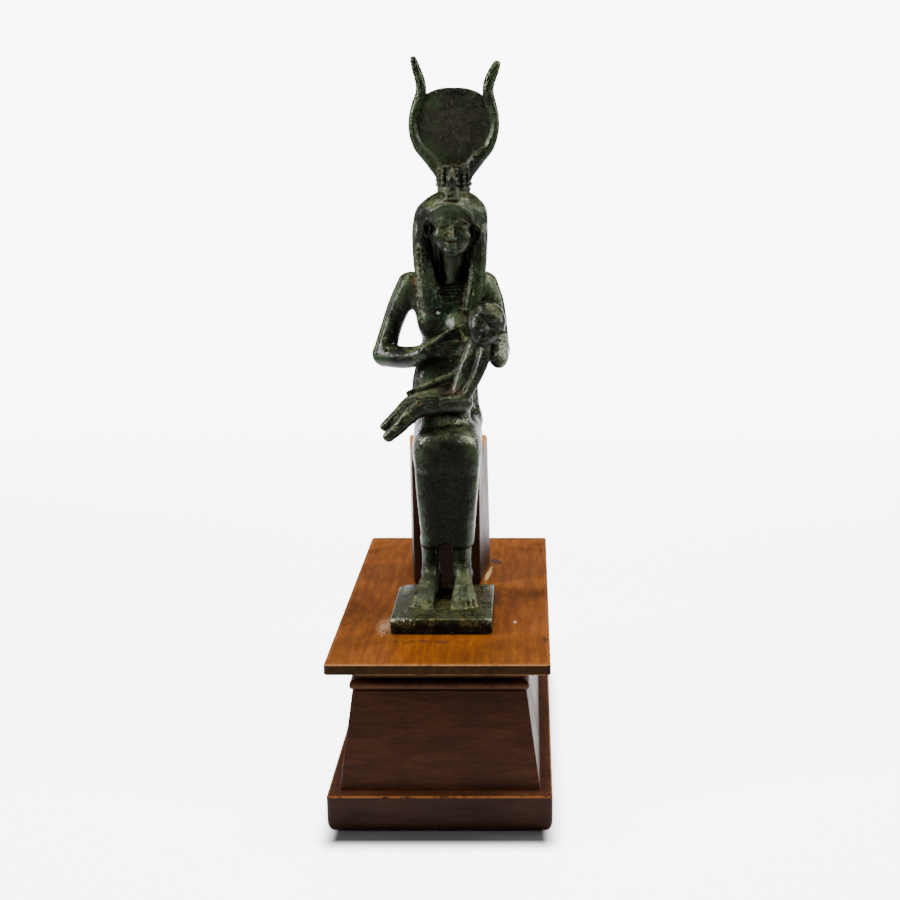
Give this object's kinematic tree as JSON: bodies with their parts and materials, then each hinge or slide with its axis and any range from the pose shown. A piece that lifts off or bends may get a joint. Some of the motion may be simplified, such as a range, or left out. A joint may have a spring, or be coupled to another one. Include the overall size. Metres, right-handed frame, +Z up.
{
  "type": "isis statue",
  "caption": "Seated bronze goddess with horned sun-disc crown nursing a child on her lap, mounted on a stepped wooden display base",
  "frame": {"origin": "centre of the plinth's underside", "axes": "+Z up; the figure looks along -Y, towards the front; +X to the viewer's right when seen from the front"},
  "size_m": [0.0766, 0.1346, 0.2567],
  "materials": {
    "bronze": "dark green-black patina, satin, with lighter green and brown patches",
    "seat_wood": "reddish brown, worn varnish",
    "top_wood": "warm orange-brown varnish, satin",
    "base_wood": "dark reddish-brown varnish, satin"
  },
  "bodies": {
    "root": {"goddess_and_child": "bronze", "seat_block": "seat_wood", "top_slab": "top_wood", "pedestal_body": "base_wood", "plinth": "base_wood"}
  },
  "joints": []
}
